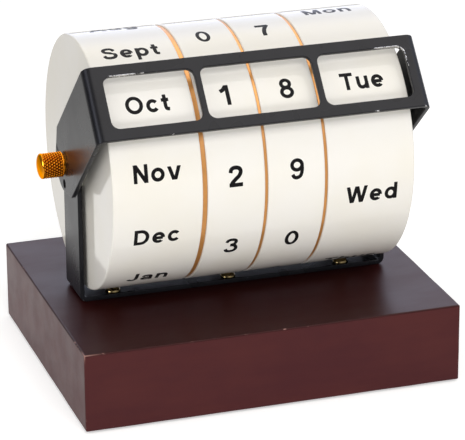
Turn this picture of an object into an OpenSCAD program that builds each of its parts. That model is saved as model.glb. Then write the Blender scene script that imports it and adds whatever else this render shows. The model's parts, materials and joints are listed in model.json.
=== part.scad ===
// Perpetual desk calendar. Four wheels turn on one tube in a steel cradle that is screwed to a wooden
// base, and a steel visor with three windows tilts about the same axis, held by two thumb nuts.
// X runs along the axle, the front faces -Y, +Z is up, and the origin is the centre of the underside.

/* [Base] */
// Width of the wooden base, along the axle
base_w = 166; // [160:1:200]
// Depth of the wooden base, front to back
base_d = 134; // [124:1:170]
// Height of the base's top face above the table
base_h = 35.5; // [24:0.5:51]
// Radius of the base's eased edges
base_edge_r = 0.8; // [0.6:0.2:4]
// Thickness of the felt under the base
felt_t = 1; // [0.6:0.2:2]
// Distance from the base's sides to the felt
felt_inset = 5; // [3:1:20]

/* [Wheels] */
// Outer radius of the four wheels
wheel_r = 54.8; // [50:0.2:57]
// Width of the month wheel and of the weekday wheel
word_wheel_w = 38.6; // [36:0.2:39]
// Width of the tens wheel and of the units wheel
digit_wheel_w = 25; // [22:0.2:25.4]
// Groove between the month wheel and the tens wheel
wide_groove = 2; // [1.6:0.1:3]
// Groove between the other wheels
narrow_groove = 1.3; // [1:0.1:2]
// Depth of the gilt discs below the wheels' surface
groove_depth = 0.7; // [0.4:0.1:2]
// Thickness of a wheel's rim, web and cap
wheel_wall = 2.2; // [1.6:0.1:4]
// Radius of a wheel's eased outer edges
wheel_edge_r = 0.7; // [0.3:0.1:1]

/* [Cradle] */
// Height of the axle above the table
axle_z = 95; // [93.5:0.5:120]
// Thickness of the steel sheet of the cradle and the visor
sheet_t = 2; // [1.2:0.1:2.2]
// Width of the cradle's strip, front to back
strip_w = 23; // [20:1:40]
// Distance between the outer faces of the uprights
cradle_w = 138.8; // [138.4:0.2:139.4]
// Outer radius of the cradle's bends
cradle_bend_r = 3; // [2.6:0.2:6]
// Spacing of the screws along the strip
screw_pitch = 52; // [40:0.2:54]
// Offset of the screws from the middle of the strip, as the photographed one is drilled
screw_shift = -2; // [-5:0.5:5]
// Distance of each row of screws from the middle of the strip
screw_row_y = 8; // [6:0.5:8]
// Radius of a screw's head
screw_head_r = 3.3; // [2.6:0.1:3.4]

/* [Visor] */
// Tilt of the visor's face at rest: how far its normal points above level
visor_tilt = 41.5; // [20:0.5:70]
// Distance between the outer faces of the visor's arms
visor_w = 144.6; // [144.4:0.2:150]
// Distance from the axle to the visor's outer face
panel_dist = 61.5; // [60:0.5:66]
// Height of the visor's face along its slope
panel_h = 33; // [31:0.5:38]
// Outer radius of the visor's bends
visor_bend_r = 4; // [3:0.2:6]
// Height of the windows along the slope
window_h = 23.2; // [18:0.2:26]
// Width of the middle window, over both digits
digit_window_w = 48.4; // [40:0.2:48.6]
// Width of a side window, over a word
word_window_w = 38.8; // [30:0.2:39]
// Width of the posts between the windows
post_w = 2.5; // [2:0.1:4]
// Offset of the windows from the middle of the visor, as the photographed one is cut
window_shift = 0.6; // [0:0.1:1]
// Radius of the windows' corners
window_r = 3.5; // [1:0.5:6]
// Radius of the arms' round end, about the axle
arm_end_r = 12.3; // [11.5:0.1:15]
// Radius of the spare hole in each arm
arm_hole_r = 1.9; // [1:0.1:2]

/* [Axle] */
// Outer radius of the tube that the wheels turn on
tube_r = 4; // [3.6:0.1:5]
// Radius of the threaded tie rod inside the tube
rod_r = 2.45; // [2:0.05:2.5]
// Outer radius of the bushes pressed into the wheels
bush_r = 6; // [5.4:0.1:8]
// Radius of the thumb nuts over their knurling
knob_r = 5.5; // [5:0.1:9]
// Overall width across the ends of the thumb nuts
knob_span = 167.2; // [162:0.2:170]

/* [Hidden] */
$fn = 64;
eps = 0.01;
run_gap = 0.06; // radial clearance of a turning fit
side_gap = 0.2; // axial clearance beside a turning wheel
thin_gap = 0.1; // axial clearance beside a washer

// The wheels' left faces along X, worked out from the middle of the whole stack
stack_w = 2 * word_wheel_w + 2 * digit_wheel_w + wide_groove + 2 * narrow_groove;
month_x = -stack_w / 2;
tens_x = month_x + word_wheel_w + wide_groove;
units_x = tens_x + digit_wheel_w + narrow_groove;
weekday_x = units_x + digit_wheel_w + narrow_groove;

felt_corner_r = 4;

hub_r = bush_r + 3;
rib_t = 1.6;
rib_count = 6;
rib_root = 0.5; // how far a rib runs into the hub and into the rim
ledge_w = 1.2;

upright_in = cradle_w / 2 - sheet_t;
upright_out = cradle_w / 2;
arm_in = visor_w / 2 - sheet_t;
arm_out = visor_w / 2;
strip_top = base_h + sheet_t;
clear_hole_r = rod_r + run_gap;

end_washer_r = 11;
arm_washer_r = 9;
nut_washer_r = 4.6;
nut_washer_t = 0.5;
spring_t = 0.6;
spring_r = 10;

knob_in = arm_out + nut_washer_t + thin_gap;
knob_len = knob_span / 2 - knob_in;
knob_ease = 0.5;
knob_chamfer = 1.1;
knob_dome = 0.7;
knob_end_wall = 3;
knob_bore_depth = knob_len - knob_end_wall;
rod_end_gap = 1;

screw_head_h = 2.5;
screw_rim_h = 0.4;
screw_r = 1.6;
screw_hole_r = 1.9;
screw_len = 14;
screw_tip = 3;
screw_point_r = 0.3;
recess_w = 0.8;
recess_len = 3.2;
recess_depth = 1;
screw_columns = [-1, 0, 1];
screw_rows = [-1, 1];

corner_y = -2; // where an arm's straight sides end, just in front of the axle
touch_depth = 0.1; // how far a side runs into the arm's round end, so that the two cross cleanly
spare_hole = [4.8, -7.2]; // the spare hole's place behind and below the axle, before the tilt

// Placing and outlines

// Puts children drawn along +Z onto the axle, starting at x and running towards +X
module on_axle(x) {
    translate([x, 0, axle_z])
        rotate([0, 90, 0])
            children();
}

// Extrudes a 2D outline drawn in (Y, Z) along X, centred
module along_x(length) {
    rotate([90, 0, 90])
        translate([0, 0, -length / 2])
            linear_extrude(length)
                children();
}

// Extrudes a 2D outline drawn in (X, Z) along Y, centred
module along_y(length) {
    rotate([90, 0, 0])
        translate([0, 0, -length / 2])
            linear_extrude(length)
                children();
}

// Rectangle with round corners, centred
module round_rect(w, h, r) {
    square([w - 2 * r, h], center = true);
    square([w, h - 2 * r], center = true);
    for (sx = [-1, 1], sy = [-1, 1]) {
        translate([sx * (w / 2 - r), sy * (h / 2 - r)])
            circle(r);
    }
}

// Block with its bottom at y = 0 whose two bottom corners are round
module round_bottom(w, h, r) {
    translate([-w / 2 + r, 0])
        square([w - 2 * r, h]);
    translate([-w / 2, r])
        square([w, h - r]);
    for (s = [-1, 1]) {
        translate([s * (w / 2 - r), r])
            circle(r);
    }
}

// Bent sheet: a U with its bottom on y = 0, open at the top
module sheet_u(w, h, bend_r) {
    difference() {
        round_bottom(w, h, bend_r);
        translate([0, sheet_t])
            round_bottom(w - 2 * sheet_t, h, bend_r - sheet_t);
    }
}

// Flat ring of radii r_in and r_out, t thick, from x towards +X
module ring(x, t, r_in, r_out) {
    on_axle(x)
        difference() {
            cylinder(h = t, r = r_out);
            translate([0, 0, -1])
                cylinder(h = t + 2, r = r_in);
        }
}

// Base

module screw_places() {
    for (column = screw_columns, row = screw_rows) {
        translate([column * screw_pitch + screw_shift, row * screw_row_y, 0])
            children();
    }
}

module base_block() {
    wood_h = base_h - felt_t;
    color([0.28, 0.12, 0.11])
        translate([0, 0, felt_t + wood_h / 2])
            difference() {
                intersection() {
                    translate([0, 0, -wood_h / 2])
                        linear_extrude(wood_h)
                            round_rect(base_w, base_d, base_edge_r);
                    along_x(base_w)
                        round_rect(base_d, wood_h, base_edge_r);
                    along_y(base_d)
                        round_rect(base_w, wood_h, base_edge_r);
                }
                screw_places()
                    translate([0, 0, wood_h / 2 + sheet_t - screw_len])
                        cylinder(h = screw_len, r = screw_r);
            }
}

module felt_pad() {
    color([0.10, 0.16, 0.12])
        linear_extrude(felt_t)
            round_rect(base_w - 2 * felt_inset, base_d - 2 * felt_inset, felt_corner_r);
}

// Cradle

module cradle() {
    color([0.16, 0.16, 0.18])
        difference() {
            intersection() {
                translate([0, 0, base_h])
                    along_y(strip_w)
                        sheet_u(cradle_w, axle_z - base_h + strip_w, cradle_bend_r);
                along_x(cradle_w)
                    union() {
                        translate([-strip_w / 2, base_h])
                            square([strip_w, axle_z - base_h]);
                        translate([0, axle_z])
                            circle(strip_w / 2);
                    }
            }
            on_axle(-cradle_w)
                cylinder(h = 2 * cradle_w, r = clear_hole_r);
            screw_places()
                translate([0, 0, base_h - 1])
                    cylinder(h = sheet_t + 2, r = screw_hole_r);
        }
}

// Pan-head wood screw, its head's underside on z = 0
module cradle_screw() {
    dome_h = screw_head_h - screw_rim_h;
    dome_r = (screw_head_r * screw_head_r + dome_h * dome_h) / (2 * dome_h);
    difference() {
        intersection() {
            cylinder(h = screw_head_h, r = screw_head_r);
            translate([0, 0, screw_head_h - dome_r])
                sphere(dome_r);
        }
        for (turn = [0, 90]) {
            rotate([0, 0, turn])
                translate([-recess_len / 2, -recess_w / 2, screw_head_h - recess_depth])
                    cube([recess_len, recess_w, recess_depth + 1]);
        }
    }
    translate([0, 0, -screw_len + screw_tip])
        cylinder(h = screw_len - screw_tip, r = screw_r);
    translate([0, 0, -screw_len])
        cylinder(h = screw_tip, r1 = screw_point_r, r2 = screw_r);
}

module cradle_screws() {
    color([0.78, 0.60, 0.24])
        screw_places()
            translate([0, 0, strip_top])
                cradle_screw();
}

// Axle

module axle_tube() {
    color([0.72, 0.73, 0.75])
        ring(-upright_in, 2 * upright_in, clear_hole_r, tube_r);
}

module tie_rod() {
    rod_half = knob_in + knob_bore_depth - rod_end_gap;
    color([0.60, 0.61, 0.63])
        on_axle(-rod_half)
            cylinder(h = 2 * rod_half, r = rod_r);
}

module end_washer() {
    color([0.93, 0.93, 0.90])
        ring(-upright_in, upright_in + month_x - side_gap, tube_r + run_gap, end_washer_r);
}

// Coned spring washer that presses the wheels together, wide side against the upright
module spring_washer() {
    cone_h = upright_in + month_x - side_gap - spring_t;
    inner = tube_r + run_gap;
    color([0.70, 0.70, 0.72])
        on_axle(upright_in - cone_h - spring_t)
            rotate_extrude()
                polygon([[inner, 0], [inner, spring_t], [spring_r, cone_h + spring_t], [spring_r, cone_h]]);
}

module arm_washer(x) {
    color([0.93, 0.93, 0.90])
        ring(x, arm_in - upright_out - thin_gap, clear_hole_r, arm_washer_r);
}

module nut_washer(x) {
    color([0.70, 0.52, 0.20])
        ring(x, nut_washer_t, clear_hole_r, nut_washer_r);
}

// Disc between two wheels, a press fit on the tube, in a groove that starts at x
module gilt_disc(x, groove) {
    color([0.80, 0.58, 0.28])
        ring(x + side_gap, groove - 2 * side_gap, tube_r, wheel_r - groove_depth);
}

// Wheels

// Wheel of width w, closed at z = 0 by its web and open at z = w for its cap
module wheel_shell(w) {
    inner_r = wheel_r - wheel_wall;
    cap_z = w - wheel_wall;
    rotate_extrude()
        difference() {
            union() {
                translate([bush_r, 0])
                    square([wheel_r - wheel_edge_r - bush_r, w]);
                translate([bush_r, wheel_edge_r])
                    square([wheel_r - bush_r, w - 2 * wheel_edge_r]);
                for (z = [wheel_edge_r, w - wheel_edge_r]) {
                    translate([wheel_r - wheel_edge_r, z])
                        circle(wheel_edge_r);
                }
            }
            translate([hub_r, wheel_wall])
                square([inner_r - ledge_w - hub_r, w]);
            translate([hub_r, wheel_wall])
                square([inner_r - hub_r, cap_z - 2 * wheel_wall]);
            translate([0, cap_z])
                square([inner_r, w]);
        }
    for (i = [0 : rib_count - 1]) {
        rotate([0, 0, i * 360 / rib_count])
            translate([hub_r - rib_root, -rib_t / 2, wheel_wall - eps])
                cube([inner_r - hub_r + 2 * rib_root, rib_t, cap_z - 2 * wheel_wall]);
    }
}

// The same wheel placed from x, with its web on the left, or on the right if it is mirrored
module wheel(x, w, web_right = false) {
    color([0.95, 0.94, 0.90])
        on_axle(web_right ? x + w : x)
            mirror([0, 0, web_right ? 1 : 0])
                wheel_shell(w);
}

// Cap pressed into a wheel's open side
module wheel_cap(x, w, web_right = false) {
    color([0.88, 0.87, 0.83])
        ring(web_right ? x : x + w - wheel_wall, wheel_wall, bush_r, wheel_r - wheel_wall);
}

module wheel_bush(x, w) {
    color([0.90, 0.88, 0.80])
        ring(x, w, tube_r + run_gap, bush_r);
}

// Visor

// Side view of the visor about the axle at the origin, its face on the left, before it is tilted
module arm_outline() {
    half = panel_h / 2;
    corner_len = sqrt(corner_y * corner_y + half * half);
    touch = atan2(half, corner_y) - acos(arm_end_r / corner_len);
    touch_y = (arm_end_r - touch_depth) * cos(touch);
    touch_z = (arm_end_r - touch_depth) * sin(touch);
    polygon([[-panel_dist, -half], [corner_y, -half], [touch_y, -touch_z], [touch_y, touch_z],
             [corner_y, half], [-panel_dist, half]]);
    circle(arm_end_r);
}

module window_cut(x, w) {
    translate([x, -panel_dist, 0])
        along_y(4 * sheet_t)
            round_rect(w, window_h, window_r);
}

module visor() {
    side_x = digit_window_w / 2 + post_w + word_window_w / 2;
    color([0.17, 0.17, 0.19])
        translate([0, 0, axle_z])
            rotate([-visor_tilt, 0, 0])
                difference() {
                    intersection() {
                        translate([0, -panel_dist, -panel_h / 2])
                            linear_extrude(panel_h)
                                sheet_u(visor_w, panel_dist + 2 * arm_end_r, visor_bend_r);
                        along_x(visor_w)
                            arm_outline();
                    }
                    window_cut(window_shift, digit_window_w);
                    window_cut(window_shift - side_x, word_window_w);
                    window_cut(window_shift + side_x, word_window_w);
                    along_x(2 * visor_w)
                        circle(clear_hole_r);
                    along_x(2 * visor_w)
                        translate(spare_hole)
                            circle(arm_hole_r);
                }
}

// Thumb nut with its flat inner face on z = 0 and its domed end towards +Z
module thumb_nut() {
    face_r = knob_r - knob_chamfer;
    barrel = knob_len - knob_chamfer - knob_dome;
    dome_r = (face_r * face_r + knob_dome * knob_dome) / (2 * knob_dome);
    difference() {
        union() {
            cylinder(h = knob_ease, r1 = knob_r - knob_ease, r2 = knob_r);
            translate([0, 0, knob_ease])
                cylinder(h = barrel - knob_ease, r = knob_r);
            translate([0, 0, barrel])
                cylinder(h = knob_chamfer, r1 = knob_r, r2 = face_r);
            intersection() {
                translate([0, 0, barrel + knob_chamfer - 1])
                    cylinder(h = knob_dome + 1, r = face_r);
                translate([0, 0, knob_len - dome_r])
                    sphere(dome_r);
            }
        }
        translate([0, 0, -1])
            cylinder(h = knob_bore_depth + 1, r = clear_hole_r);
    }
}

module thumb_nut_on(side) {
    color([0.80, 0.58, 0.20])
        mirror([side < 0 ? 1 : 0, 0, 0])
            on_axle(knob_in)
                thumb_nut();
}

base_block();
felt_pad();
cradle();
cradle_screws();
axle_tube();
tie_rod();
end_washer();
spring_washer();
arm_washer(-arm_in + thin_gap);  // left_arm_washer
arm_washer(upright_out);  // right_arm_washer
gilt_disc(tens_x - wide_groove, wide_groove);  // gilt_disc_month_tens
gilt_disc(units_x - narrow_groove, narrow_groove);  // gilt_disc_tens_units
gilt_disc(weekday_x - narrow_groove, narrow_groove);  // gilt_disc_units_weekday
wheel(month_x, word_wheel_w);  // month_wheel
wheel_cap(month_x, word_wheel_w);  // month_cap
wheel_bush(month_x, word_wheel_w);  // month_bush
wheel(tens_x, digit_wheel_w);  // tens_wheel
wheel_cap(tens_x, digit_wheel_w);  // tens_cap
wheel_bush(tens_x, digit_wheel_w);  // tens_bush
wheel(units_x, digit_wheel_w);  // units_wheel
wheel_cap(units_x, digit_wheel_w);  // units_cap
wheel_bush(units_x, digit_wheel_w);  // units_bush
wheel(weekday_x, word_wheel_w, true);  // weekday_wheel
wheel_cap(weekday_x, word_wheel_w, true);  // weekday_cap
wheel_bush(weekday_x, word_wheel_w);  // weekday_bush
visor();
nut_washer(-arm_out - nut_washer_t);  // left_nut_washer
nut_washer(arm_out);  // right_nut_washer
thumb_nut_on(-1);  // left_thumb_nut
thumb_nut_on(1);  // right_thumb_nut
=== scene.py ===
"""Perpetual desk calendar: four lettered wheels on one axle, a steel cradle and visor, and a mahogany base.

Shapes are worked out with numpy in millimetres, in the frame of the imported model: X along the axle, the
front towards -Y and Z up. They go into their meshes in metres, so every piece's object stays at the origin.
"""

import json
import math

import bmesh
import bpy
import numpy as np
from mathutils import Matrix, Vector
from mathutils.geometry import delaunay_2d_cdt


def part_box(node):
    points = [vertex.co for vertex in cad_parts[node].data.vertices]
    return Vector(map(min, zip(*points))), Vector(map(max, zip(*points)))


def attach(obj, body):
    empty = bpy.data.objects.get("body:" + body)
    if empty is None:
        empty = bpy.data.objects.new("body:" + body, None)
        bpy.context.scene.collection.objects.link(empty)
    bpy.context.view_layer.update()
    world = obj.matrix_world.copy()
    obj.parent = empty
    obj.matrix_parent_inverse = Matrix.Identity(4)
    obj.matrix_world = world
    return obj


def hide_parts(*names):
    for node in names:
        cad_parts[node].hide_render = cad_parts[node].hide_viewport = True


bl_info = {
    "name": "Perpetual desk calendar",
    "version": (1, 0, 0),
    "blender": (4, 5, 0),
    "location": "3D View > Sidebar > Calendar",
    "description": "Builds the looks of a perpetual desk calendar around its packed frame",
    "category": "Add Mesh",
}

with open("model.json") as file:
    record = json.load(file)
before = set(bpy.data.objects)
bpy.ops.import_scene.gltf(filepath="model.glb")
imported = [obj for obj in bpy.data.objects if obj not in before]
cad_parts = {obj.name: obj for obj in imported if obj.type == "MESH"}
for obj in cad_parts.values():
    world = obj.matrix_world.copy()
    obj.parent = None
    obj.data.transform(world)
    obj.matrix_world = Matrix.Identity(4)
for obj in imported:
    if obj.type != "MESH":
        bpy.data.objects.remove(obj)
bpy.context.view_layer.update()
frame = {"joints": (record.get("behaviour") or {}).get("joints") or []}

MM = 0.001
WELD = 0.0005 * MM
FULL_TURN = 2 * math.pi
SEED = 7


def node_box(node):
    """Lowest and highest corner of a CAD node in millimetres."""
    low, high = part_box(node)
    return np.array(low) / MM, np.array(high) / MM


def axle_box(node):
    """Where a CAD node that is round about the axle starts and ends along it, and its radius."""
    low, high = node_box(node)
    return low[0], high[0], high[2] - AXLE_Z


AXLE_Z = next(j for j in frame["joints"] if j["name"] == "visor_tilt")["pos_m"][2] / MM
BASE_LOW, BASE_HIGH = node_box("base_block")
VISOR_HALF_WIDTH = node_box("visor")[1][0]
CRADLE_HALF_WIDTH = node_box("cradle")[1][0]
WHEEL_RADIUS = axle_box("month_wheel")[2]
WHEELS = ("month", "tens", "units", "weekday")


# Sizes and colours


def mm(value):
    """Property's length in millimetres."""
    return value / MM


def length(description, millimetres, least=0):
    """Property for a length, stored in metres."""
    return bpy.props.FloatProperty(
        description=description, default=millimetres * MM, min=least * MM, unit="LENGTH", precision=5
    )


def colour(description, *srgb):
    """Property for a colour, given as three sRGB numbers up to 255 and stored as linear."""
    share = np.array(srgb) / 255
    linear = np.where(share <= 0.04045, share / 12.92, ((share + 0.055) / 1.055) ** 2.4)
    return bpy.props.FloatVectorProperty(
        description=description, default=linear.tolist(), size=3, subtype="COLOR", min=0, max=1
    )


class CalendarStand(bpy.types.PropertyGroup):
    """Sizes of the base, the cradle, its screws and the axle"""

    base_edge: length("Radius of the base's eased edges", 0.7)
    felt_corner: length("Radius of the felt's corners", 4)
    sheet: length("Thickness of the steel sheet of the cradle and the visor", 2)
    sheet_edge: length("Radius of the sheet's eased edges", 0.3)
    cradle_bend: length("Outer radius of the cradle's bends", 3)
    strip_width: length("Width of the cradle's strip", 23)
    screw_pitch: length("Spacing of the screws along the strip", 52)
    screw_shift: length("Offset of the screws from the middle of the strip", -2, least=-10)
    screw_row: length("Distance of a row of screws from the middle of the strip", 8)
    screw_hole: length("Radius of the holes in the strip", 1.9)
    screw_shank: length("Radius of a screw's shank", 1.6)
    recess_width: length("Width of the arms of a screw's cross recess", 0.8)
    recess_span: length("Length of the arms of a screw's cross recess", 3.4)
    axle_hole: length("Radius of the bores that the tie rod passes", 2.51)
    tube: length("Outer radius of the tube that the wheels turn on", 4)
    tube_gap: length("Running gap round the tube", 0.06)
    bush: length("Outer radius of the bushes", 6)


class CalendarVisor(bpy.types.PropertyGroup):
    """Sizes of the visor"""

    tilt: bpy.props.FloatProperty(
        description="Angle of the face's normal above level", default=math.radians(41.5), subtype="ANGLE"
    )
    reach: length("Distance from the axle to the visor's outer face", 61.5)
    height: length("Height of the face along its slope", 33)
    bend: length("Outer radius of the bends", 4)
    window_height: length("Height of the windows along the slope", 23.2)
    day_window: length("Width of the middle window", 48.4)
    word_window: length("Width of a side window", 38.8)
    post: length("Width of the posts between the windows", 2.5)
    window_shift: length("Offset of the windows to the right of the visor's middle", 0.6)
    window_corner: length("Radius of the windows' corners", 3.5)
    arm_end: length("Radius of the arms' round end, about the axle", 12.3)
    arm_corner: length("How far in front of the axle the arms' straight sides end", 2)
    spare_hole: length("Radius of the spare hole in each arm", 1.9)


class CalendarWheels(bpy.types.PropertyGroup):
    """Sizes of the wheels and of their lettering"""

    wall: length("Thickness of a wheel's rim, web and cap", 2.2)
    edge: length("Radius of a wheel's eased outer edges", 0.7)
    hub: length("Radius of a wheel's hub", 9)
    ledge: length("Width of the ledge that a wheel's cap sits on", 1.2)
    rim_lip: length("How far a gilt rim stands into the gap on either side, to hide it", 0.16)
    word_height: length("Height of a capital letter", 7.75)
    digit_height: length("Height of a digit", 9.1)
    stretch: bpy.props.FloatProperty(description="Width of the lettering against its drawn width", default=0.99)
    print_height: length("How far the printed letters stand off a wheel", 0.03)


class CalendarColours(bpy.types.PropertyGroup):
    """Colours of the finishes"""

    mahogany: colour("Stained mahogany between its grain lines", 80, 38, 38)
    grain: colour("Darker lines of the mahogany's grain", 64, 28, 34)
    # Painted shade: the top face gets a darker colour for the weak light that falls on it
    top_painted_shade: colour("Darker stain of the base's top face", 40, 6, 4)
    worn_wood: colour("Mahogany where its edges are rubbed", 160, 122, 114)
    felt: colour("Felt under the base", 38, 58, 46)
    paint: colour("Black paint of the cradle and the visor", 28, 28, 31)
    steel: colour("Bare steel", 205, 203, 200)
    cream: colour("Cream enamel of the wheels", 244, 241, 235)
    print_black: colour("Printed letters", 22, 21, 22)
    gilt: colour("Rims of the gilt discs", 216, 152, 84)
    brass: colour("Deep lacquered brass of the thumb nuts", 240, 150, 34)
    screw_brass: colour("Pale plated brass of the screws", 152, 132, 86)
    nylon: colour("Nylon of the bushes and washers", 226, 224, 212)


# Meshes from arrays


def grid(points, wrap_rows=False, wrap_columns=True):
    """Surface over a (rows, columns, 3) array: its points, and a four-sided face between neighbours.

    Where it wraps, its last row or column joins the first one."""
    rows, columns = points.shape[:2]
    i, j = np.indices((rows - (not wrap_rows), columns - (not wrap_columns))).reshape(2, -1)
    below, beside = (i + 1) % rows, (j + 1) % columns
    faces = np.stack([i * columns + j, below * columns + j, below * columns + beside, i * columns + beside], 1)
    return points.reshape(-1, 3), faces


def add_piece(name, surfaces, look, body, node=None, **attributes):
    """One piece from surfaces of points and faces: seams welded, faces turned outwards, riding on its body.

    Its look is a material, made when it is first asked for. It may stand for a CAD node, and each attribute has
    one number for each of its points."""
    points = np.vstack([p for p, _ in surfaces]) * MM
    starts = np.cumsum([0] + [len(p) for p, _ in surfaces[:-1]])
    faces = [row for (_, f), start in zip(surfaces, starts) for row in (f + start).tolist()]
    mesh = bpy.data.meshes.new(name)
    mesh.from_pydata(points.tolist(), [], faces)
    for key, values in attributes.items():
        mesh.attributes.new(key, "FLOAT", "POINT").data.foreach_set("value", np.asarray(values, np.float32))
    shape = bmesh.new()
    shape.from_mesh(mesh)
    bmesh.ops.remove_doubles(shape, verts=shape.verts, dist=WELD)
    bmesh.ops.recalc_face_normals(shape, faces=shape.faces)
    shape.to_mesh(mesh)
    shape.free()
    if not len(mesh.polygons):
        raise RuntimeError(f"{name} has no faces")
    mesh.polygons.foreach_set("use_smooth", np.ones(len(mesh.polygons), bool))
    slot, make = LOOKS[look]
    mesh.materials.append(bpy.data.materials.get(look) or make(look, bpy.context.scene.calendar_colours))
    piece = bpy.data.objects.new(name, mesh)
    bpy.context.scene.collection.objects.link(piece)
    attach(piece, body)
    if node:
        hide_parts(node)


def rounded(corners, radii, steps=4, guard=0.06):
    """Closed outline through corners, each rounded by an arc that touches both of its sides.

    A corner with half angle h and radius r has its arc's centre on the bisector, r / sin h away, and the arc
    begins r / tan h along each side. A guard point just outside each end of the arc keeps the shading of
    the flat sides flat."""
    corners = np.asarray(corners, float)
    outline = []
    for k, (corner, radius) in enumerate(zip(corners, np.broadcast_to(radii, len(corners)))):
        if radius == 0:
            outline.append(corner)
            continue
        back, ahead = corners[k - 1] - corner, corners[(k + 1) % len(corners)] - corner
        back, ahead = back / np.linalg.norm(back), ahead / np.linalg.norm(ahead)
        half = math.acos(np.clip(back @ ahead, -1, 1)) / 2
        reach = radius / math.tan(half)
        centre = corner + (back + ahead) / np.linalg.norm(back + ahead) * radius / math.sin(half)
        start = corner + back * reach - centre
        end = corner + ahead * reach - centre
        turn = np.linspace(0, math.atan2(start[0] * end[1] - start[1] * end[0], start @ end), steps + 1)
        square = np.array([-start[1], start[0]])
        bow = centre + np.cos(turn)[:, None] * start + np.sin(turn)[:, None] * square
        outline += [corner + back * (reach + guard), bow, corner + ahead * (reach + guard)]
    return np.vstack(outline)


def round_x(x, r, t):
    """Points at x, the radius r and the angle t about the axle: t is 0 in front and grows upwards."""
    return np.stack([x + 0 * t, -r * np.cos(t), AXLE_Z + r * np.sin(t)], -1)


def even_turns(count):
    """Angles that divide a full turn evenly."""
    return np.arange(count) * FULL_TURN / count


def turned(outline, turns):
    """Surface of revolution about the axle from a closed outline of (x, r)."""
    x, r = np.asarray(outline, float).T[:, :, None]
    return grid(round_x(x, r, even_turns(turns)), True)


def eased(corners, edge):
    """Closed outline of a small section through corners, with eased edges."""
    return rounded(corners, edge, 3, 0.03)


def circle_loop(x, y, radius, count=40):
    """Points round a circle."""
    t = even_turns(count)
    return np.stack([x + radius * np.cos(t), y + radius * np.sin(t)], 1)


def inward_normals(loop):
    """Mitred normals of a closed loop, pointing to its left: (n1 + n2) / (1 + n1.n2) of the two sides."""
    ahead = np.roll(loop, -1, 0) - loop
    ahead /= np.linalg.norm(ahead, axis=1, keepdims=True)
    side = np.stack([-ahead[:, 1], ahead[:, 0]], 1)
    before = np.roll(side, 1, 0)
    return (side + before) / (1 + (side * before).sum(1, keepdims=True))


def signed_area(loop):
    """Area inside a loop, positive when it runs anticlockwise."""
    after = np.roll(loop, -1, 0)
    return 0.5 * float((loop[:, 0] * after[:, 1] - loop[:, 1] * after[:, 0]).sum())


def inside(points, loops):
    """Whether each point is inside an odd number of the loops, by counting crossings to its right."""
    crossings = np.zeros(len(points), int)
    for loop in loops:
        a, b = loop, np.roll(loop, -1, 0)
        px, py = points[:, :1], points[:, 1:]
        spans = (a[:, 1] > py) != (b[:, 1] > py)
        rise = np.where(b[:, 1] == a[:, 1], 1, b[:, 1] - a[:, 1])
        where = a[:, 0] + (py - a[:, 1]) * (b[:, 0] - a[:, 0]) / rise
        crossings += (spans & (px < where)).sum(1)
    return crossings % 2 == 1


def sheet_surfaces(loops, thickness, edge, fold, fold_lines=(), guard=0.12, steps=4):
    """A solid sheet cut to loops and folded: the first loop is its outline and the others are holes.

    The rim follows each loop with the profile of the edge, a quarter round of radius edge, a flat and another
    quarter round. The two faces are triangulated inside the rims, with fold_lines as edges in them. Then fold
    carries each point (s, v) of the blank at its depth below the outer face into space. Returns the surfaces,
    and for each point whether it is on a rim."""
    turn = np.linspace(0, math.pi / 2, steps + 1)
    inset = np.concatenate([[edge + guard], edge - edge * np.sin(turn)])
    depth = np.concatenate([[0], edge - edge * np.cos(turn)])
    inset = np.concatenate([inset, inset[::-1]])[:, None]
    depth = np.concatenate([depth, thickness - depth[::-1]])[:, None]
    surfaces, edges, inner = [], [], []
    for k, loop in enumerate(loops):
        if (signed_area(loop) > 0) != (k == 0):
            loop = loop[::-1]
        flat = loop + inward_normals(loop) * inset[..., None]
        surfaces.append(grid(fold(flat[..., 0], flat[..., 1], depth + 0 * flat[..., 0])))
        edges.append((inset <= edge) + np.zeros(len(loop)))
        inner.append(flat[0])
    starts = np.cumsum([0] + [len(loop) for loop in inner])
    sides = [
        (start + k, start + (k + 1) % len(loop)) for loop, start in zip(inner, starts) for k in range(len(loop))
    ]
    for s in fold_lines:
        sides.append(tuple(np.flatnonzero(np.abs(inner[0][:, 0] - s) < 1e-6).tolist()))
    made = delaunay_2d_cdt([Vector(p) for p in np.vstack(inner).tolist()], sides, [], 0, 1e-6)
    flat, faces = np.array([tuple(v) for v in made[0]]), np.array(made[2])
    kept = faces[inside(flat[faces].mean(1), inner)]
    for deep in (0.0, thickness):
        surfaces.append((fold(flat[:, 0], flat[:, 1], np.full(len(flat), deep)), kept))
        edges.append(np.zeros(len(flat)))
    return surfaces, np.concatenate([e.ravel() for e in edges])


def u_fold(s, depth, half_width, bend):
    """Section of a sheet bent to a U, from the distance s along its outer face from the middle.

    Returns across and in: across the U, and in from the outer face of its bottom. The bottom runs to half_width
    less the bend, the bend is a quarter circle, and the arms run straight on."""
    flat, away = half_width - bend, np.abs(s)
    phi = np.clip((away - flat) / bend, 0, math.pi / 2)
    beyond = np.maximum(away - flat - bend * math.pi / 2, 0)
    across = np.minimum(away, flat) + (bend - depth) * np.sin(phi)
    inwards = bend - (bend - depth) * np.cos(phi) + beyond
    return np.sign(s) * across, inwards


def fold_places(half_width, bend, steps=12):
    """Distances along the sheet where its bends are divided."""
    places = half_width - bend + bend * math.pi / 2 * np.arange(steps + 1) / steps
    return np.concatenate([[places[0] - 0.3], places, [places[-1] + 0.3]])


def divided(loop, step=2.0):
    """Closed loop with each long side split into equal steps, so that chips and painted highlights can lie
    along it.
    """
    parts = []
    for start, end in zip(loop, np.roll(loop, -1, 0)):
        count = max(1, math.ceil(np.linalg.norm(end - start) / step))
        parts.append(start + (end - start) * np.arange(count)[:, None] / count)
    return np.vstack(parts)


# Lettering


def arc(x, y, rx, ry, start, end, count=20):
    """Points on an ellipse about (x, y), from one angle to another in degrees."""
    t = np.radians(np.linspace(start, end, count))
    return np.stack([x + rx * np.cos(t), y + ry * np.sin(t)], 1)


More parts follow.
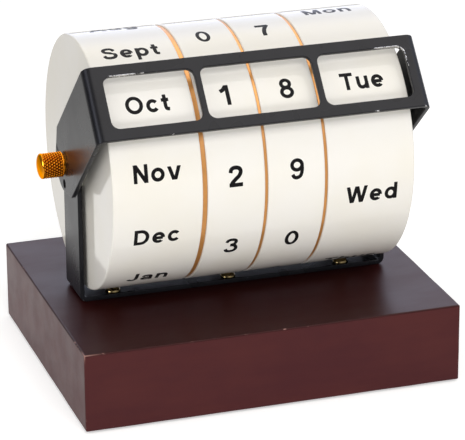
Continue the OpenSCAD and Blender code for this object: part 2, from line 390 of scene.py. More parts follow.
def curve(*places, count=8):
    """Smooth curve through places: a cubic on each stretch, its slope at a place half its neighbours' step."""
    p = np.array(places, float)
    slope = np.gradient(p, axis=0)
    u = np.linspace(0, 1, count, endpoint=False)[:, None, None]
    a, b, da, db = p[:-1], p[1:], slope[:-1], slope[1:]
    rise = 3 * u**2 - 2 * u**3
    value = (1 - rise) * a + (u**3 - 2 * u**2 + u) * da + rise * b + (u**3 - u**2) * db
    return np.vstack([value.transpose(1, 0, 2).reshape(-1, 2), p[-1:]])


def run(*parts):
    """One stroke through points and curves in order."""
    return np.vstack([np.atleast_2d(np.asarray(part, float)) for part in parts])


def line(x0, y0, x1, y1):
    """Straight stroke between two places."""
    return run((x0, y0), (x1, y1))


STROKE = 0.2
HALF = STROKE / 2
TOP = 1 - HALF
X_HEIGHT = 0.74
X_TOP = X_HEIGHT - HALF
RIGHT_BOWL = (0.37, X_HEIGHT / 2, 0.25, 0.278)
LEFT_BOWL = (0.35, X_HEIGHT / 2, 0.25, 0.278)
OPEN_BOWL = (0.355, X_HEIGHT / 2, 0.255, 0.278)


def letter_strokes():
    """Centre lines of the letters and digits on a capital height of 1: each has its width and its strokes."""
    stem = line(HALF, 0, HALF, 1)
    short_stem = line(HALF, 0, HALF, X_HEIGHT)
    arch = run(curve((HALF, 0.40), (0.17, 0.565), (0.35, 0.642), (0.51, 0.585), (0.57, 0.43)), (0.57, 0))
    cup = curve((HALF, 0.31), (0.155, 0.15), (0.31, 0.092), (0.49, 0.17), (0.57, 0.33))
    big_s = curve(
        (0.70, 0.70), (0.60, 0.855), (0.40, 0.91), (0.19, 0.86), (0.12, 0.735), (0.20, 0.61), (0.41, 0.535),
        (0.64, 0.455), (0.72, 0.29), (0.62, 0.14), (0.40, 0.09), (0.18, 0.14), (0.09, 0.30),
    )
    a_hook = curve((0.11, 0.50), (0.18, 0.605), (0.34, 0.645), (0.51, 0.60), (0.56, 0.46))
    a_bowl = curve(
        (0.56, 0.42), (0.38, 0.37), (0.18, 0.32), (0.105, 0.21), (0.17, 0.11), (0.31, 0.092), (0.47, 0.15),
        (0.56, 0.28),
    )
    g_tail = curve((0.62, -0.01), (0.56, -0.145), (0.37, -0.19), (0.19, -0.155), (0.13, -0.07))
    two = curve(
        (0.10, 0.67), (0.16, 0.85), (0.35, 0.91), (0.54, 0.85), (0.59, 0.69), (0.51, 0.52), (0.32, 0.35),
        (0.17, 0.20), (0.12, 0.06),
    )
    three_top = curve(
        (0.10, 0.72), (0.17, 0.865), (0.34, 0.91), (0.51, 0.86), (0.55, 0.735), (0.47, 0.60), (0.28, 0.55)
    )
    three_foot = curve(
        (0.28, 0.54), (0.51, 0.49), (0.60, 0.30), (0.52, 0.14), (0.33, 0.09), (0.16, 0.14), (0.09, 0.29)
    )
    five = curve(
        (0.14, 0.49), (0.33, 0.58), (0.53, 0.52), (0.60, 0.33), (0.52, 0.145), (0.33, 0.09), (0.16, 0.13),
        (0.09, 0.26),
    )
    t_stem = run((0.20, 0.95), curve((0.20, 0.25), (0.25, 0.13), (0.41, 0.10)))
    y_tail = curve((0.37, 0.04), (0.28, -0.15), (0.10, -0.18))
    seven = curve((0.62, 0.96), (0.44, 0.66), (0.32, 0.33), (0.28, -0.05))
    right_bowl, left_bowl = arc(*RIGHT_BOWL, 0, 360, 32), arc(*LEFT_BOWL, 0, 360, 32)
    six = [
        arc(0.345, 0.315, 0.245, 0.225, 0, 360, 32),
        curve((0.575, 0.73), (0.50, 0.865), (0.355, 0.91), (0.18, 0.82), (0.105, 0.58), (0.10, 0.34)),
    ]
    return {
        "A": (0.98, [line(0.055, -0.1, 0.49, 1.1), line(0.925, -0.1, 0.49, 1.1), line(0.2, 0.31, 0.78, 0.31)]),
        "D": (0.85, [stem, run((HALF, TOP), arc(0.38, 0.5, 0.365, TOP - 0.5, 90, -90), (HALF, HALF))]),
        "F": (0.70, [stem, line(0, TOP, 0.70, TOP), line(0, 0.50, 0.61, 0.50)]),
        "J": (0.62, [run((0.52, 1), (0.52, 0.33), arc(0.31, 0.31, 0.21, 0.215, 0, -172))]),
        "M": (0.96, [stem, line(0.86, 0, 0.86, 1), line(0.07, 1.1, 0.48, -0.02), line(0.89, 1.1, 0.48, -0.02)]),
        "N": (0.80, [stem, line(0.70, 0, 0.70, 1), line(0.03, 1.1, 0.77, -0.1)]),
        "O": (0.97, [arc(0.485, 0.5, 0.385, TOP - 0.49, 0, 360, 48)]),
        "S": (0.82, [big_s]),
        "T": (0.74, [line(0, TOP, 0.74, TOP), line(0.37, 0, 0.37, 1)]),
        "W": (
            1.19,
            [line(0.06, 1.1, 0.33, -0.06), line(0.595, 1.06, 0.33, -0.06), line(0.595, 1.06, 0.86, -0.06),
             line(1.13, 1.1, 0.86, -0.06)],
        ),
        "a": (0.69, [run(a_hook, (0.56, 0.15), (0.59, 0)), a_bowl]),
        "b": (0.72, [stem, right_bowl]),
        "c": (0.69, [arc(*OPEN_BOWL, 38, 322, 28)]),
        "d": (0.72, [line(0.62, 0, 0.62, 1), left_bowl]),
        "e": (0.70, [line(0.12, 0.355, 0.60, 0.355), arc(*OPEN_BOWL, -3, 318, 32)]),
        "g": (0.72, [left_bowl, run((0.62, X_HEIGHT), g_tail)]),
        "h": (0.67, [stem, arch]),
        "i": (0.20, [short_stem, line(HALF, 0.84, HALF, 1)]),
        "l": (0.20, [stem]),
        "n": (0.67, [short_stem, arch]),
        "o": (0.75, [arc(0.375, X_HEIGHT / 2, 0.275, 0.278, 0, 360, 32)]),
        "p": (0.72, [line(HALF, -0.27, HALF, X_HEIGHT), right_bowl]),
        "r": (0.46, [short_stem, curve((HALF, 0.38), (0.16, 0.55), (0.28, 0.635), (0.46, 0.63))]),
        "t": (0.42, [t_stem, line(0, X_TOP, 0.41, X_TOP)]),
        "u": (0.67, [line(0.57, 0, 0.57, X_HEIGHT), run((HALF, X_HEIGHT), cup)]),
        "v": (0.74, [line(0.05, 0.86, 0.37, -0.10), line(0.69, 0.86, 0.37, -0.10)]),
        "y": (0.74, [line(0.05, 0.86, 0.37, 0.06), run((0.69, 0.86), y_tail)]),
        "0": (0.69, [arc(0.345, 0.5, 0.248, TOP - 0.49, 0, 360, 48)]),
        "1": (0.48, [line(0.38, 0, 0.38, 1), curve((0.03, 0.69), (0.20, 0.77), (0.35, 0.95))]),
        "2": (0.69, [two, line(0.03, HALF, 0.69, HALF)]),
        "3": (0.69, [three_top, three_foot]),
        "4": (0.70, [line(0.51, 1.1, 0.03, 0.27), line(0.02, 0.30, 0.70, 0.30), line(0.50, 0, 0.50, 1)]),
        "5": (0.69, [line(0.18, TOP, 0.64, TOP), line(0.215, 0.97, 0.14, 0.47), five]),
        "6": (0.69, six),
        "7": (0.66, [line(0.02, TOP, 0.65, TOP), seven]),
        "8": (0.69, [arc(0.345, 0.725, 0.205, 0.185, 0, 360, 32), arc(0.345, 0.305, 0.248, 0.215, 0, 360, 32)]),
        "9": (0.69, [[0.69, 1] - stroke for stroke in six]),
    }


def stroke_field(x, y, stroke):
    """Distance outside a stroke, negative inside: that to its centre line, less half its width.

    Past an open end the distance to the end's own line counts instead, which cuts the stroke off square."""
    a, b = stroke[:-1], stroke[1:]
    along = b - a
    px, py = x[..., None] - a[:, 0], y[..., None] - a[:, 1]
    share = np.clip((px * along[:, 0] + py * along[:, 1]) / (along**2).sum(1), 0, 1)
    field = np.hypot(px - share * along[:, 0], py - share * along[:, 1]).min(-1) - HALF
    if np.allclose(stroke[0], stroke[-1]):
        return field
    for end, inner in ((stroke[0], stroke[1]), (stroke[-1], stroke[-2])):
        away = (end - inner) / np.linalg.norm(end - inner)
        beyond = (x - end[0]) * away[0] + (y - end[1]) * away[1]
        near = np.hypot(x - end[0], y - end[1]) < STROKE
        field = np.where(near, np.maximum(field, beyond), field)
    return field


def filled(field, x, y):
    """Triangles over the part of a grid where field is below 0, cut off straight where it crosses 0.

    Each cell is two triangles. One with a single corner inside keeps that corner's tip, and one with two keeps
    all but the third one's. The cut on a side is where the field falls to 0 along it."""
    rows, columns = field.shape
    index = np.arange(rows * columns).reshape(rows, columns)
    a, b, c, d = index[:-1, :-1], index[:-1, 1:], index[1:, 1:], index[1:, :-1]
    corners = np.concatenate([np.stack([a, b, c], -1).reshape(-1, 3), np.stack([a, c, d], -1).reshape(-1, 3)])
    places = np.stack(np.meshgrid(x, y), -1).reshape(-1, 2)
    value = field.ravel()
    count = (value[corners] < 0).sum(1)
    triangles = [places[corners[count == 3]]]

    def crossing(p, q):
        share = value[p] / (value[p] - value[q])
        return places[p] + share[:, None] * (places[q] - places[p])

    for wanted, is_inside in ((1, True), (2, False)):
        chosen = corners[count == wanted]
        odd = np.argmax((value[chosen] < 0) == is_inside, axis=1)
        order = (odd[:, None] + np.arange(3)) % 3
        p, q, r = np.take_along_axis(chosen, order, 1).T
        first, second = crossing(p, q), crossing(p, r)
        if is_inside:
            triangles.append(np.stack([places[p], first, second], 1))
        else:
            triangles.append(np.stack([first, places[q], places[r]], 1))
            triangles.append(np.stack([first, places[r], second], 1))
    soup = np.concatenate(triangles)
    points, inverse = np.unique(soup.reshape(-1, 2).round(4), axis=0, return_inverse=True)
    faces = inverse.reshape(-1, 3)
    whole = (faces[:, 0] != faces[:, 1]) & (faces[:, 1] != faces[:, 2]) & (faces[:, 2] != faces[:, 0])
    return points, faces[whole]


def letter_shape(strokes, height, stretch, clip, slim, cell=0.2):
    """Flat triangles of one letter in millimetres, from the lowest field of its strokes on a grid of cells.

    The letter ends at the clip's two heights, and slim is taken off each side of its strokes."""
    everything = np.vstack(strokes)
    low, high = everything.min(0) - STROKE, everything.max(0) + STROKE
    x = np.arange(low[0], high[0], cell / (height * stretch))
    y = np.arange(low[1], high[1], cell / height)
    field = np.min([stroke_field(*np.meshgrid(x, y), stroke) for stroke in strokes], axis=0) + slim
    field = np.maximum(field, np.maximum(clip[0] - y, y - clip[1])[:, None])
    return filled(field, x * height * stretch, y * height)


# Heights between which a letter is cut off level, where its slanting strokes run past them
UNCLIPPED = (-9, 9)
CLIPS = {**{c: (0, 1) for c in "AMNW47"}, "v": (0, X_HEIGHT), "y": (-1, X_HEIGHT), "2": (0, 2)}
# What is taken off each side of a digit's strokes, because digits are larger than letters and no bolder
SLIMMER = {**{c: 0.015 for c in "03689"}, **{c: 0.006 for c in "1245"}}
LETTER_GAP = 0.17


def word_shape(word, glyphs, height, stretch):
    """Flat triangles of a word, its letters a fixed gap apart, centred on its middle and on half a capital."""
    pen, points, faces, count = 0.0, [], [], 0
    for letter in word:
        width, strokes = glyphs[letter]
        p, f = letter_shape(strokes, height, stretch, CLIPS.get(letter, UNCLIPPED), SLIMMER.get(letter, 0))
        points.append(p + [pen * height * stretch, 0])
        faces.append(f + count)
        count += len(p)
        pen += width + LETTER_GAP
    middle = [(pen - LETTER_GAP) * height * stretch / 2, height / 2]
    return np.vstack(points) - middle, np.vstack(faces)


def printed(shape, x, elevation, lift, sink=0.06):
    """Thin solid of a flat shape wrapped round a wheel: up the shape is up the rim, from the given elevation.

    A point (a, b) goes to x + a and to the angle elevation + b / radius, on the wheel's radius plus lift. The
    underside is the same shape sunk below the surface, and walls join the two along the shape's outline."""
    flat, faces = shape
    turn = math.radians(elevation) + flat[:, 1] / WHEEL_RADIUS
    points = np.vstack([round_x(x + flat[:, 0], WHEEL_RADIUS + out, turn) for out in (lift, -sink)])
    sides = np.concatenate([faces[:, [0, 1]], faces[:, [1, 2]], faces[:, [2, 0]]])
    n = len(flat)
    outer = ~np.isin(sides @ [n, 1], sides @ [1, n])
    start, end = sides[outer].T
    walls = np.stack([start, end, end + n, start + n], 1)
    return [(points, np.vstack([faces, faces[:, ::-1] + n])), (points, walls)]


# Finishes


class Nodes:
    """Short calls that add nodes to one tree. A value is a socket, which is linked, or a constant."""

    def __init__(self, tree):
        self.tree = tree

    def add(self, kind, settings=None, **sockets):
        """Node of a kind, with its settings and the values of its sockets."""
        made = self.tree.nodes.new("ShaderNode" + kind)
        for key, value in (settings or {}).items():
            setattr(made, key, value)
        self.fill(made, **sockets)
        return made

    def feed(self, socket, value):
        """Links a socket to a value, or sets it. A colour may be given as three numbers."""
        if isinstance(value, bpy.types.NodeSocket):
            self.tree.links.new(value, socket)
        else:
            socket.default_value = (*value, 1) if socket.type == "RGBA" else value

    def fill(self, node, **sockets):
        """Feeds the named sockets of a node, their spaces written as underscores."""
        for key, value in sockets.items():
            self.feed(node.inputs[key.replace("_", " ")], value)

    def calculate(self, operation, *values):
        """Result of a Math node. Values past the second one go through more nodes of the same operation."""
        made = self.add("Math", {"operation": operation})
        for socket, value in zip(made.inputs, values[:2]):
            self.feed(socket, value)
        return self.calculate(operation, made.outputs[0], *values[2:]) if values[2:] else made.outputs[0]

    def product(self, *values):
        """Product of values."""
        return self.calculate("MULTIPLY", *values)

    def total(self, *values):
        """Sum of values."""
        return self.calculate("ADD", *values)

    def highest(self, *values):
        """Highest of values."""
        return self.calculate("MAXIMUM", *values)

    def blend(self, factor, first, second):
        """Colour between two colours."""
        made = self.add("Mix", {"data_type": "RGBA"})
        for index, value in ((0, factor), (6, first), (7, second)):
            self.feed(made.inputs[index], value)
        return made.outputs[2]

    def between(self, value, low, high, to_low=0.0, to_high=1.0):
        """Value moved smoothly from one range to another, and held at its ends."""
        made = self.add("MapRange", {"interpolation_type": "SMOOTHSTEP"})
        for socket, number in zip(made.inputs, (value, low, high, to_low, to_high)):
            self.feed(socket, number)
        return made.outputs[0]

    def coordinates(self, kind="Object"):
        """Coordinates of a kind, and their three parts."""
        vector = self.add("TexCoord").outputs[kind]
        return vector, self.add("SeparateXYZ", Vector=vector).outputs

    def noise(self, scale, detail=3.0, roughness=0.5, distortion=0.0, stretch=(1, 1, 1)):
        """Noise value about 0.5 over the object. A number below 1 in stretch draws it out along that axis."""
        place = self.add("Mapping", Vector=self.add("TexCoord").outputs["Object"], Scale=stretch).outputs[0]
        return self.add(
            "TexNoise", Vector=place, Scale=scale, Detail=detail, Roughness=roughness, Distortion=distortion
        ).outputs[0]

    def attribute(self, name):
        """The mesh's attribute of a name."""
        return self.add("Attribute", {"attribute_name": name}).outputs["Fac"]


class Finish(Nodes):
    """A material with a Principled shader, made from a colour, a roughness and other inputs of the shader."""

    def __init__(self, name, colour, roughness, **inputs):
        self.material = bpy.data.materials.new(name)
        self.material.use_nodes = True
        self.material.diffuse_color = (*colour, 1)
        super().__init__(self.material.node_tree)
        self.shader = self.tree.nodes["Principled BSDF"]
        self.set(Base_Color=colour, Roughness=roughness, **inputs)

    def set(self, **inputs):
        """Feeds inputs of the shader."""
        self.fill(self.shader, **inputs)

    def bump(self, height, distance):
        """Bumps the surface by a height field, its distance in metres."""
        self.set(Normal=self.add("Bump", Height=height, Distance=distance).outputs[0])


def shade(colour, share):
    """A colour times a number, or times three."""
    return np.multiply(colour, share).tolist()


# The line that the mahogany's growth rings run round, parallel to X, and the rings' phase in radians a metre
HEART_Y, HEART_Z, RINGS = -0.11, -0.16, 1100


def mahogany_finish(name, colours):
    """Satin lacquer on stained mahogany: growth rings about a far line along X, short pores, rubbed edges, and
    painted shade on the top face.
    """
    finish = Finish(name, colours.mahogany, 0.35, Specular_IOR_Level=0.13)
    # Rings: a sine of the distance from the heart line, bent by a slow wobble, under clouds of darker wood
    _, (_, y, z) = finish.coordinates()
    out, up = finish.total(y, -HEART_Y), finish.total(z, -HEART_Z)
    radius = finish.calculate("SQRT", finish.total(finish.product(out, out), finish.product(up, up)))
    wobble = finish.noise(26, stretch=(0.35, 1, 1))
    rings = finish.calculate("SINE", finish.total(finish.product(radius, RINGS), finish.product(wobble, 16)))
    cloud = finish.between(finish.noise(45, 4, 0.6, stretch=(0.5, 1, 1)), 0.3, 0.7, 0, 0.5)
    share = finish.total(finish.between(rings, -1, 1, 0, 0.06), cloud)
    wood = finish.blend(share, colours.mahogany, colours.grain)
    # The painted shade of the top face, a darker colour for the weak light on it, fades out over the eased edge
    top = finish.between(z, (BASE_HIGH[2] - 1) * MM, (BASE_HIGH[2] - 0.2) * MM, 0, 0.95)
    wood = finish.blend(top, wood, colours.top_painted_shade)
    pores = finish.between(finish.noise(2600, 2, stretch=(0.035, 1, 1)), 0.60, 0.70)
    wood = finish.blend(finish.product(pores, 0.07), wood, shade(colours.grain, 0.35))
    # The edges are rubbed in small nicks that come in longer stretches, and all over the marked corner
    nicks = finish.between(finish.noise(420, 4, 0.7), 0.55, 0.66)
    stretches = finish.between(finish.noise(38, 2), 0.50, 0.62)
    rubbed = finish.highest(finish.product(nicks, stretches), finish.attribute("corner"))
    worn = finish.product(finish.attribute("edge"), rubbed)
    smear = finish.noise(60, 4, 0.6, stretch=(0.4, 1, 1))
    finish.set(
        Base_Color=finish.blend(worn, wood, colours.worn_wood),
        Roughness=finish.between(smear, 0.25, 0.75, 0.32, 0.42),
    )
    finish.bump(finish.calculate("SUBTRACT", finish.product(smear, 0.5), finish.product(pores, 0.3)), 0.000014)
    return finish.material


def felt_finish(name, colours):
    """Pressed wool: short fibres in every direction over a soft mottle."""
    finish = Finish(name, colours.felt, 0.95, Sheen_Weight=0.4)
    fibres = finish.noise(2400, 5, 0.75, 1.5)
    share = finish.between(finish.total(fibres, finish.noise(160)), 0.76, 1.24)
    finish.set(Base_Color=finish.blend(share, shade(colours.felt, 0.45), shade(colours.felt, 1.9)))
    finish.bump(fibres, 0.00015)
    return finish.material


def paint_finish(name, colours):
    """Semi-gloss black paint with a fine orange peel, thin at its edges and bared to steel in spots, partly as
    chips and partly as painted highlights along the edges.
    """
    finish = Finish(name, colours.paint, 0.3, Specular_IOR_Level=0.17)
    thin = finish.between(finish.noise(90), 0.3, 0.7, 0.02, 0.16)
    # The spots of bare steel from the chip marks are partly real paint chips and partly painted highlights
    # along the edges
    level = finish.total(
        finish.noise(1500, 5, 0.7),
        finish.product(finish.attribute("edge"), thin),
        finish.product(finish.attribute("chip"), 0.34),
    )
    bare = finish.between(level, 0.83, 0.87)
    tone = finish.between(finish.noise(60), 0.3, 0.7)
    paint = finish.blend(tone, shade(colours.paint, 0.8), shade(colours.paint, 1.2))
    finish.set(
        Base_Color=finish.blend(bare, paint, colours.steel),
        Metallic=bare,
        Roughness=finish.between(finish.noise(60, 2), 0.3, 0.7, 0.26, 0.3),
    )
    finish.bump(finish.calculate("SUBTRACT", finish.product(finish.noise(700, 2), 0.02), bare), 0.00002)
    return finish.material


def enamel_finish(name, colour, gloss):
    """Cream enamel: a faint mottle, slightly warmer in clouds, with almost even gloss."""
    finish = Finish(name, colour, gloss, Specular_IOR_Level=0.32)
    cloud = finish.between(finish.noise(34), 0.3, 0.7)
    smear = finish.between(finish.noise(110, 4, 0.6), 0.25, 0.75, gloss * 0.7, gloss * 1.4)
    finish.set(Base_Color=finish.blend(cloud, colour, shade(colour, (0.985, 0.975, 0.94))), Roughness=smear)
    finish.bump(finish.noise(300, 2), 0.000003)
    return finish.material


def print_finish(name, colours):
    """Black printing ink with a little unevenness."""
    finish = Finish(name, colours.print_black, 0.3, Specular_IOR_Level=0.05)
    tone = finish.between(finish.noise(900, 4, 0.65), 0.35, 0.7)
    finish.set(Base_Color=finish.blend(tone, colours.print_black, shade(colours.print_black, 1.5)))
    finish.bump(finish.noise(1800), 0.00001)
    return finish.material


def metal_finish(name, colour, roughness, stretch=(1, 1, 1), spread=0.05, darker=0.6, metallic=1.0):
    """Turned or rolled metal: fine streaks along the axes where stretch is small, and a soft tarnish."""
    finish = Finish(name, colour, roughness, Metallic=metallic)
    fine = finish.noise(2600, stretch=stretch)
    tarnish = finish.between(finish.noise(130, 4, 0.6), 0.35, 0.75, 0, 0.6)
    share = finish.total(finish.product(fine, 0.4), tarnish)
    finish.set(
        Base_Color=finish.blend(share, colour, shade(colour, darker)),
        Roughness=finish.between(fine, 0.3, 0.7, roughness - spread, roughness + spread),
    )
    finish.bump(fine, 0.00001)
    return finish.material


def knurl_finish(name, colours):
    """Brass darkened in its grooves as painted shade, with tarnish in clouds: the groove attribute is 1 at the
    bottom of the knurling.
    """
    finish = Finish(name, colours.brass, 0.22, Metallic=1.0, Specular_Tint=(1, 0.62, 0.2))
    grime = finish.noise(900, 4, 0.7)
    # Painted shade: the grooves go to a dark brown, with noisy tarnish mixed in
    share = finish.between(finish.total(finish.attribute("groove"), finish.product(grime, 0.5)), 0.5, 1.15)
    finish.set(
        Base_Color=finish.blend(share, colours.brass, shade(colours.brass, (0.3, 0.13, 0.06))),
        Roughness=finish.between(grime, 0.3, 0.7, 0.1, 0.2),
    )
    finish.bump(finish.noise(3000, 2), 0.000006)
    return finish.material


def nylon_finish(name, colours):
    """Natural nylon: matt, with a faint moulded texture."""
    finish = Finish(name, colours.nylon, 0.5)
    cloud = finish.between(finish.noise(300), 0.3, 0.7)
    finish.set(Base_Color=finish.blend(cloud, colours.nylon, shade(colours.nylon, 0.93)))
    finish.bump(finish.noise(1800), 0.00002)
    return finish.material


# For each material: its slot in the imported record, and what makes it from its name and the colours
LOOKS = {
    "mahogany_lacquer": ("mahogany", mahogany_finish),
    "green_felt": ("felt", felt_finish),
    "semi_gloss_black": ("black_paint", paint_finish),
    "cream_enamel": ("cream_lacquer", lambda name, c: enamel_finish(name, c.cream, 0.07)),
    "cream_moulding": ("cream_plastic", lambda name, c: enamel_finish(name, c.cream, 0.42)),
    "printed_black": (None, print_finish),
    "satin_gilt": ("gilt", lambda name, c: metal_finish(name, c.gilt, 0.34, (1, 0.05, 0.05), 0.06, 0.8, 0.45)),
    "turned_brass": ("brass", lambda name, c: metal_finish(name, c.brass, 0.2)),
    "screw_brass": ("brass", lambda name, c: metal_finish(name, c.screw_brass, 0.16)),
    "knurled_brass": ("brass", knurl_finish),
    "bright_steel": ("bare_steel", lambda name, c: metal_finish(name, c.steel, 0.28, (0.05, 1, 1), 0.08, 0.75)),
    "natural_nylon": ("nylon", nylon_finish),
}


# Operators


class CALENDAR_OT_make_base(bpy.types.Operator):
    """Make the mahogany base and its felt"""

    bl_idname = "calendar.make_base"
    bl_label = "Base and felt"

    def execute(self, context):
        sizes = context.scene.calendar_stand
        points, faces, edges = eased_box((BASE_HIGH - BASE_LOW) / 2, mm(sizes.base_edge))
        points = points + (BASE_HIGH + BASE_LOW) / 2
        worn = spots(points, [((*BASE_LOW[:2], BASE_HIGH[2]), WORN_CORNER)])
        block = (points, faces)
        add_piece("mahogany_base", [block], "mahogany_lacquer", "stand", "base_block", edge=edges, corner=worn)
        low, high = node_box("felt_pad")
        outline = rounded(rectangle(0, high[0], high[1]), mm(sizes.felt_corner), 10)

        def lay(x, y, depth):
            """The felt lies flat, its outer face down on the table."""
            return np.stack([x, y, low[2] + depth], -1)

        surfaces, _ = sheet_surfaces([outline], high[2] - low[2], FELT_EDGE, lay)
        add_piece("felt_sheet", surfaces, "green_felt", "stand", "felt_pad")
        return {"FINISHED"}


# Radius of the worn spot on the base's near left corner, and of the felt's cut edge
WORN_CORNER, FELT_EDGE = 2.2, 0.3


def rectangle(x, half_width, half_height):
    """Corners of a rectangle about (x, 0), anticlockwise."""
    w, h = half_width, half_height
    return [(x - w, -h), (x + w, -h), (x + w, h), (x - w, h)]


def eased_box(half, radius, steps=4, guard=0.3, cells=23):
    """Box with round edges, about its middle: its points, faces and how far each point is into an edge.

    Each side is a grid. A point is first clamped to the core, the box less its radius, then set at the radius
    from there. In the edge zone the grid steps by radius times the tangent of even angles, so the steps on the
    round are even too. The radius varies by a fifth along the edges, as sanding leaves it."""
    zone = radius * np.tan(np.linspace(0, math.pi / 4, steps + 1))
    sides = [
        np.concatenate([-core - zone[::-1], np.linspace(-core + guard, core - guard, cells + 1), core + zone])
        for core in half - radius
    ]
    surfaces, count = [], 0
    for axis in range(3):
        u, v = (axis + 1) % 3, (axis + 2) % 3
        for sign in (-1, 1):
            place = np.zeros((len(sides[u]), len(sides[v]), 3))
            place[..., axis] = sign * half[axis]
            place[..., u] = sides[u][:, None]
            place[..., v] = sides[v]
            p, f = grid(place, wrap_columns=False)
            surfaces.append((p, f + count))
            count += len(p)
    points, faces = (np.vstack(parts) for parts in zip(*surfaces))
    waver = np.sin(points @ [0.21, 0.17, 0.13]) * 0.6 + np.sin(points @ [0.63, 0.71, 0.37] + 1.3) * 0.4
    eased = radius * (1 + 0.2 * waver)[:, None]
    core = np.clip(points, eased - half, half - eased)
    away = points - core
    distance = np.linalg.norm(away, axis=1, keepdims=True)
    edges = np.clip((distance[:, 0] / eased[:, 0] - 1) * 6, 0, 1)
    return core + away / distance * eased, faces, edges


def strip_outline(places, half_height, ends):
    """Outline of a folded sheet's blank: from the middle of the top round one end to the bottom, and mirrored.

    The long sides have a point at each place where the sheet's bends are divided."""
    top = np.stack([places, np.full(len(places), half_height)], 1)
    right = np.vstack([top, ends, top[::-1] * [1, -1]])
    return np.vstack([right, right[::-1] * [-1, 1]])


def add_folded(name, node, body, loops, sizes, fold, places, chips):
    """Painted piece of folded sheet, with its edges marked and its paint off where a function of its points and
    edges says: partly chips, partly painted highlights.
    """
    lines = np.concatenate([-places[::-1], places])
    surfaces, edges = sheet_surfaces(loops, mm(sizes.sheet), mm(sizes.sheet_edge), fold, lines)
    points = np.vstack([p for p, _ in surfaces])
    add_piece(name, surfaces, "semi_gloss_black", body, node, edge=edges, chip=chips(points, edges))


class CALENDAR_OT_make_cradle(bpy.types.Operator):
    """Make the bent steel cradle"""

    bl_idname = "calendar.make_cradle"
    bl_label = "Cradle"

    def execute(self, context):
        sizes = context.scene.calendar_stand
        bend, strip, foot = mm(sizes.cradle_bend), mm(sizes.strip_width) / 2, BASE_HIGH[2]
        axle = CRADLE_HALF_WIDTH - bend + bend * math.pi / 2 + AXLE_Z - foot - bend
        places = fold_places(CRADLE_HALF_WIDTH, bend)
        holes = [circle_loop(side * axle, 0, mm(sizes.axle_hole)) for side in (-1, 1)]
        holes += [circle_loop(x, y, mm(sizes.screw_hole)) for x, y in screw_places(sizes)]

        def fold(s, v, depth):
            """The strip lies on the base across the front, and its ends stand up."""
            across, inwards = u_fold(s, depth, CRADLE_HALF_WIDTH, bend)
            return np.stack([across, v + 0 * across, foot + inwards], -1)

        outline = strip_outline(places, strip, arc(axle, 0, strip, strip, 90, -90, 33))
        add_folded(
            "steel_cradle", "cradle", "stand", [outline, *holes], sizes, fold, places,
            lambda points, edges: spots(points, CRADLE_CHIPS_AND_HIGHLIGHTS),
        )
        return {"FINISHED"}


# Places of bare-steel spots on the cradle's left front edge, partly paint chips and partly painted highlights,
# and their radius
CRADLE_CHIPS_AND_HIGHLIGHTS = [((-69, -11.5, 50), 1.2), ((-69, -11.5, 35), 1.5)]


def spots(points, places):
    """Sum of soft spots: each place has its radius, and its share falls off as a bell round it."""
    shares = [np.exp(-(((points - place) / radius) ** 2).sum(1)) for place, radius in places]
    return np.clip(sum(shares), 0, 1)


def screw_places(sizes):
    """Places of the screws along and across the strip."""
    columns = np.array([-1, 0, 1]) * mm(sizes.screw_pitch) + mm(sizes.screw_shift)
    return [(x, y) for x in columns for y in (-mm(sizes.screw_row), mm(sizes.screw_row))]


class CALENDAR_OT_make_screws(bpy.types.Operator):
    """Make the cross-recessed screws of the cradle"""

    bl_idname = "calendar.make_screws"
    bl_label = "Screws"

    def execute(self, context):
        sizes = context.scene.calendar_stand
        low, high = node_box("cradle_screws")
        seat, head = BASE_HIGH[2] + mm(sizes.sheet), high[1] - mm(sizes.screw_row)
        top, body = screw_outline(head, mm(sizes.screw_shank), seat, high[2], low[2])
        outline = np.vstack([top, body])
        cut = (np.arange(len(outline)) < len(top))[:, None]
        t = even_turns(96)
        x, y = outline[:, :1] * np.cos(t), outline[:, :1] * np.sin(t)
        z = outline[:, 1:] - cut * recess(x, y, mm(sizes.recess_width), mm(sizes.recess_span))
        random = np.random.default_rng(SEED)
        surfaces = []
        for across, along in screw_places(sizes):
            twist = random.uniform(0, math.pi / 2)
            c, s = math.cos(twist), math.sin(twist)
            surfaces.append(grid(np.stack([across + c * x - s * y, along + s * x + c * y, z], -1)))
        add_piece("brass_screws", surfaces, "screw_brass", "stand", "cradle_screws")
        return {"FINISHED"}


def screw_outline(head, shank, seat, crown, low, rim=0.4, tip=3, point=0.3, proud=0.04):
    """Section of a pan-head screw as (radius, height), from the crown's middle out and down to its point.

    Above the rim the head's top is (1 - s^2.6)^0.6 of its height at the share s of its radius. The crown
    stands a little proud, because the recess cuts its middle away."""
    share = np.sin(np.linspace(0, math.pi / 2, 44))
    height = (crown + proud - seat - rim) * (1 - share**2.6) ** 0.6
    top = np.stack([head * share, seat + rim + height], 1)
    body = [(head, seat + rim * 0.8), (head, seat), (shank, seat), (shank, low + tip), (point, low), (0, low)]
    return top, body


def recess(x, y, width, span, depth=1.0, slope=0.12):
    """Depth of a cross recess: two crossed slots whose walls slope over a short distance."""

    def slot(along, across):
        inner = np.minimum((span / 2 - np.abs(along)) / slope, (width / 2 - np.abs(across)) / slope)
        return np.clip(inner, 0, 1)

    return depth * np.maximum(slot(x, y), slot(y, x))


def add_ring(name, node, body, look, span, radii, edge, turns=96):
    """Ring about the axle that stands for a CAD node: from x to x, from radius to radius, with eased edges."""
    (x0, x1), (inner, outer) = span, radii
    section = eased([(x0, inner), (x1, inner), (x1, outer), (x0, outer)], edge)
    add_piece(name, [turned(section, turns)], look, body, node)


# Thickness of the spring washer's sheet, and the radius of its edges and of the other rings' edges
SPRING_SHEET, SPRING_EDGE, RING_EDGE = 0.6, 0.12, 0.15


